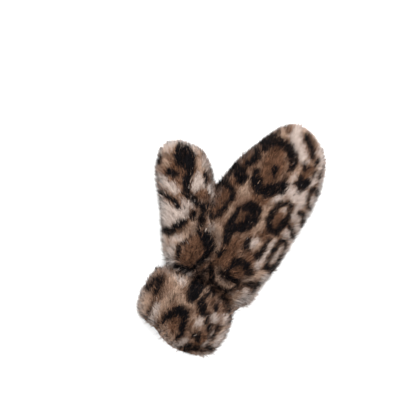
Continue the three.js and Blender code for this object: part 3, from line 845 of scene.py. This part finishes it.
class Finish:
    """A material whose nodes are added one by one."""

    def __init__(self, name, **constants):
        self.material = bpy.data.materials.new(name)
        self.material.use_nodes = True
        self.nodes = self.material.node_tree.nodes
        self.links = self.material.node_tree.links
        self.shader = self.nodes["Principled BSDF"]
        for title, value in constants.items():
            self.shader.inputs[title.replace("_", " ")].default_value = value

    def add(self, kind, settings=None, output=0, **sockets):
        node = self.nodes.new(kind)
        for key, value in (settings or {}).items():
            setattr(node, key, value)
        for key, value in sockets.items():
            socket = node.inputs[int(key[1:])] if key[0] == "_" else node.inputs[key]
            self.put(socket, value)
        return Sock(self, node.outputs[output])

    def put(self, socket, value):
        if isinstance(value, Sock):
            self.links.new(value.socket, socket)
        else:
            socket.default_value = value

    def mix(self, share, first, second):
        node = self.nodes.new("ShaderNodeMix")
        node.data_type = "RGBA"
        for number, value in ((0, share), (6, first), (7, second)):
            self.put(node.inputs[number], value)
        return Sock(self, node.outputs[2])

    def attribute(self, name):
        return self.add("ShaderNodeAttribute", {"attribute_name": name}, output="Fac")


# The light is strong enough to wash the floor out, so all dyes are deeper by this share.
DYE = 0.8


def tint(red, green, blue):
    """A dye given by its look on a screen."""
    return tuple(DYE * (((c + 0.055) / 1.055) ** 2.4 if c > 0.04045 else c / 12.92)
                 for c in (red, green, blue)) + (1.0,)


SAND = tint(0.42, 0.315, 0.25)
PALE_SAND = tint(0.66, 0.53, 0.45)
TAN = tint(0.718, 0.6, 0.517)
CREAM = tint(0.815, 0.745, 0.702)
BROWN = tint(0.528, 0.382, 0.295)
DARK_BROWN = tint(0.21, 0.138, 0.10)
BLACK = tint(0.075, 0.068, 0.075)
# How much of their colour the hairs of the rims lose: painted light, as light shines through the thin
# fringe.
PAINTED_RIM_GREYING = 0.45


def print_finish(name, root_shade):
    """The printed pile: the marks come from attributes, and no two hairs are dyed quite alike."""
    finish = Finish(name, Roughness=0.6, Specular_IOR_Level=0.02)
    lot = finish.attribute("lot")
    tip = finish.attribute("tip")
    sand = finish.mix(lot, SAND, PALE_SAND)
    brown = finish.mix(lot, DARK_BROWN, BROWN)
    colour = finish.mix(finish.attribute("tan"), sand, TAN)
    colour = finish.mix(finish.attribute("cream"), colour, CREAM)
    colour = finish.mix(finish.attribute("brown"), colour, brown)
    colour = finish.mix(finish.attribute("black"), colour, BLACK)
    # At the rims the fur is greyer: painted light shining through the thin fringe.
    colour = finish.add("ShaderNodeHueSaturation", Color=colour,
                        Saturation=1.0 - PAINTED_RIM_GREYING * finish.attribute("painted_rim_light"))
    # The hairs are darker towards the ground, partly by their own deeper root colour and partly by
    # painted shade deep in the pile.
    shade = (root_shade + (1 - root_shade) * tip) * finish.attribute("tone_and_painted_light")
    lit = finish.add("ShaderNodeVectorMath", {"operation": "SCALE"}, _0=colour, Scale=shade)
    finish.put(finish.shader.inputs["Base Color"], lit)
    return finish.material


pile_finish = print_finish("printed_pile", root_shade=0.22)
ground_finish = print_finish("knitted_ground", root_shade=0.35)

# The piles. The palm's is two pieces, so that neither is too heavy.
PILES = {
    # name: (node, hairs, seed, share of light hairs in the black marks, partly painted glints)
    "palm_pile": ("palm_panel", 97000, 21, 0.065),
    "palm_under_pile": ("palm_panel", 97000, 25, 0.065),
    "back_pile": ("back_panel", 70000, 22, 0.05),
    "thumb_pile": ("thumb", 97000, 23, 0.02),
    "cuff_pile": ("cuff", 97000, 24, 0.035),
}
# The pile is pressed shorter and thinner where the mitten lies on it: by which share, and between
# which levels of the normals it comes free.
PRESSED_LENGTH = 0.75
PRESSED_COVER = 0.45
PRESSED_LEVEL = -0.9
FREE_LEVEL = -0.5
free = smooth_step(PRESSED_LEVEL, FREE_LEVEL, normals[:, 2])
long_share = PRESSED_LENGTH + (1 - PRESSED_LENGTH) * free
cover = PRESSED_COVER + (1 - PRESSED_COVER) * free


def ground_part(name, node):
    """The part of the ground that one piece's pile grows on, and its area."""
    faces = np.array([list(face.vertices) for face in ground.polygons if len(face.vertices) == 4])
    mine = (owner == NODES.index(node)) & outside
    faces = faces[mine[faces].all(1)]
    used, faces = np.unique(faces, return_inverse=True)
    mesh = bpy.data.meshes.new(name)
    mesh.from_pydata(ground_points[used].tolist(), [], faces.reshape(-1, 4).tolist())
    store(mesh, "nap", nap[used])
    store(mesh, "rise", rise[used])
    store(mesh, "cover", cover[used])
    store(mesh, "long", long_share[used])
    area = sum(face.area for face in mesh.polygons)
    return mesh, area


def taken_off(mesh, name):
    """A hair's own value of an attribute, for each hair, and the attribute is removed."""
    flat = np.zeros(len(mesh.vertices) * 3, np.float32)
    mesh.attributes[name].data.foreach_get("vector", flat)
    mesh.attributes.remove(mesh.attributes[name])
    return flat.reshape(-1, BLADE_POINTS, 3)[:, 0]


# How far single hairs stray over the edges of the marks.
JITTER = 0.9
# At the rims: how much of the tan turns to cream, partly the fringe's own pale tips and partly painted
# light shining through it, and how many hairs are dark and how dark.
RIM_PALE_TIPS_AND_LIGHT = 0.6
RIM_DARK_SHARE = 0.14
RIM_DARK = 0.8
# Width and length of the streaks in which hairs look alike, in millimetres.
FINE_STREAK = (1.0, 4.5)
BROAD_STREAK = (2.8, 8)
# How much streaks, tufts and single hairs count in the lot of a hair.
STREAK_LOT = 0.4
TUFT_LOT = 0.2
HAIR_LOT = 0.4
# How much single hairs and streaks count in its tone.
HAIR_TONE = 1.1
STREAK_TONE = 0.8
# How much the tone differs in the usual pile, how much more in a dark one, and less in a pale one.
TONE_SPREAD = 0.68
DARK_SPREAD = 0.5
PALE_SPREAD = -0.36
# How much lighter the painted highlight makes the shoulders, in cream ones less.
SHOULDER_LIGHT = 0.3
CREAM_SHOULDER = 0.45
# How much darker the painted shade makes the low sides and the bottoms of folds, and how deep a full
# fold is.
SIDE_SHADE = 0.24
FOLD_SHADE = 0.4
FULL_FOLD = 6 * MM
# How much of the black the light hairs in black marks take. They are partly stray pale hairs and partly
# painted glints.
LEAST_BLACK = 0.35
MOST_BLACK = 0.75


def finish_pile(mesh, seed, pale_and_glint_share):
    """Gives every hair its place in the print, and its own tone."""
    points = mesh_points(mesh).reshape(-1, BLADE_POINTS, 3)
    count = len(points)
    nearest = on_ground(taken_off(mesh, "root"))
    tuft = taken_off(mesh, "tuft")
    # What shows of a hair is mostly its tip.
    seen = 0.1 * points[:, 1] + 0.1 * points[:, 2] + 0.8 * points[:, 3]
    black, brown, cream, tan = print_at(seen, normals[nearest], JITTER, seed)
    draw = np.random.default_rng(seed + 100)
    # The fringe at the rims is pale, partly by its own pale tips and partly by painted light shining
    # through it, with dark hairs among the pale ones.
    level = normals[nearest, 2]
    rim_here = smooth_step(0.65, 0.1, np.abs(level))
    painted_rim_light = smooth_step(0.92, 0.25, np.abs(level))
    cream = np.maximum(cream, RIM_PALE_TIPS_AND_LIGHT * tan * rim_here)
    dark_here = draw.uniform(0, 1, count) < RIM_DARK_SHARE * rim_here
    black = np.where(dark_here, np.maximum(black, RIM_DARK), black)
    # Each dye has lots from dark to pale, alike along broad streaks and in tufts.
    way = unit(nap[nearest].mean(0)[None])[0]
    fine = streaks(seen, way, *FINE_STREAK, seed)
    broad = streaks(seen, way, *BROAD_STREAK, seed + 50)
    lot = STREAK_LOT * broad + TUFT_LOT * tuft[:, 0] + HAIR_LOT * draw.uniform(0, 1, count)
    dark = np.maximum(black, brown)
    pale = np.maximum(0.5 * tan, cream) * (1 - dark)
    spread = TONE_SPREAD + DARK_SPREAD * dark + PALE_SPREAD * pale
    own = draw.uniform(-0.5, 0.5, count)
    tone_and_painted_light = 1 + spread * (HAIR_TONE * own + STREAK_TONE * (fine - 0.5))
    # Painted highlight on the rounded shoulders, where they catch the light, and painted shade on the
    # low sides and in the folds.
    shoulder = smooth_step(-0.3, 0.3, level) - smooth_step(0.3, 0.97, level)
    tone_and_painted_light *= 1 + (SHOULDER_LIGHT - CREAM_SHOULDER * cream) * shoulder
    tone_and_painted_light *= 1 - SIDE_SHADE + SIDE_SHADE * smooth_step(-0.2, 0.35, level)
    tone_and_painted_light *= 1 - FOLD_SHADE * fold_drop(raised[nearest]) / FULL_FOLD
    # A few hairs take little of the black: stray pale hairs, which also stand for painted glints on the
    # black fur.
    pale_and_glint_here = draw.uniform(0, 1, count) < pale_and_glint_share
    black = black * np.where(pale_and_glint_here, draw.uniform(LEAST_BLACK, MOST_BLACK, count), 1)
    dyes_and_painted_light = {"black": black, "brown": brown, "cream": cream, "tan": tan, "lot": lot, "tone_and_painted_light": tone_and_painted_light,
            "painted_rim_light": painted_rim_light}
    for title, values in dyes_and_painted_light.items():
        store(mesh, title, np.repeat(values, BLADE_POINTS))
    store(mesh, "tip", np.tile(BLADE_TIPS, count))


hair = blade()
pile_group = pile_tree(hair, pile_finish)
for name, (node, hairs, seed, pale_and_glint_share) in PILES.items():
    base, area = ground_part(name, node)
    settings = {"Hairs per m2": hairs / area, "Seed": seed}
    pile = grow(name, base, pile_group, **settings)
    finish_pile(pile.data, seed, pale_and_glint_share)
    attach(pile, "root")
bpy.data.objects.remove(hair)
bpy.data.node_groups.remove(pile_group)

# The skins are printed too. Their inside is the plain back of the knit. The outside lies under the pile
# and the inside within the mitten, and both are darkened by painted shade.
PLAIN_KNIT_IN_PAINTED_SHADE = {"lot": 0.5, "tone_and_painted_light": 0.8, "tip": 0.2, "painted_rim_light": 0.0}
for node, skin in skins.items():
    points = mesh_points(skin.data)
    printed = outside[on_raised(points)]
    shares = print_at(points, normals[on_ground(points)], 0.0, 5)
    for dye, share in zip(EDGES, shares):
        store(skin.data, dye, share * printed)
    for title, value in PLAIN_KNIT_IN_PAINTED_SHADE.items():
        store(skin.data, title, np.full(len(points), value))
    skin.data.materials.clear()
    skin.data.materials.append(ground_finish)
    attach(skin, "root")
    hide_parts(node)

# The table, the light and the camera.

FLOOR_REACH = 3
floor_corners = [(x * FLOOR_REACH, y * FLOOR_REACH, 0) for x, y in ((-1, -1), (1, -1), (1, 1), (-1, 1))]
floor_mesh = bpy.data.meshes.new("floor")
floor_mesh.from_pydata(floor_corners, [], [(0, 1, 2, 3)])
floor = add_object("floor", floor_mesh)
paper = Finish("white_paper", Roughness=0.9, Specular_IOR_Level=0.1)
grain = paper.add("ShaderNodeTexNoise", output="Fac", Scale=30.0, Detail=4.0,
                  Vector=paper.add("ShaderNodeTexCoord", output="Object"))
paper.put(paper.shader.inputs["Base Color"],
          paper.mix(grain, (0.92, 0.92, 0.92, 1), (0.96, 0.96, 0.96, 1)))
floor_mesh.materials.append(paper.material)

STUDIO_LIGHT = 1.44
scene = bpy.context.scene
scene.view_settings.view_transform = "Standard"
scene.view_settings.look = "None"
world = bpy.data.worlds.new("studio")
world.use_nodes = True
sky = world.node_tree.nodes["Background"].inputs
sky["Color"].default_value = (1, 1, 1, 1)
sky["Strength"].default_value = STUDIO_LIGHT
scene.world = world


def softbox(name, place, size, power):
    """A square light that faces the middle of the mitten."""
    light = bpy.data.lights.new(name, "AREA")
    light.shape = "SQUARE"
    light.size = size
    light.energy = power
    made = bpy.data.objects.new(name, light)
    scene.collection.objects.link(made)
    made.location = place
    made.rotation_euler = (-Vector(place)).to_track_quat("-Z", "Y").to_euler()


softbox("key", place=(-0.6, 1.0, 1.8), size=0.8, power=55)
softbox("fill", place=(1.3, 0.2, 1.3), size=1.4, power=22)

# The camera is straight above, turned so that the mitten leans to the right as it lies. The picture
# is as wide as VIEW_WIDTH at VIEW_LEVEL over the table.
VIEW_MIDDLE = (np.array([-46.4, 131.1]) + HEM_MIDDLE) * MM
VIEW_WIDTH = 0.4428
VIEW_HEIGHT = 2.4
VIEW_LEVEL = 0.025
VIEW_TURN = 31.4
SENSOR_WIDTH = 36
camera_data = bpy.data.cameras.new("camera")
camera_data.sensor_width = SENSOR_WIDTH
camera_data.lens = SENSOR_WIDTH * (VIEW_HEIGHT - VIEW_LEVEL) / VIEW_WIDTH
camera = bpy.data.objects.new("camera", camera_data)
scene.collection.objects.link(camera)
camera.location = (*VIEW_MIDDLE, VIEW_HEIGHT)
camera.rotation_euler = (0, 0, math.radians(VIEW_TURN))
scene.camera = camera
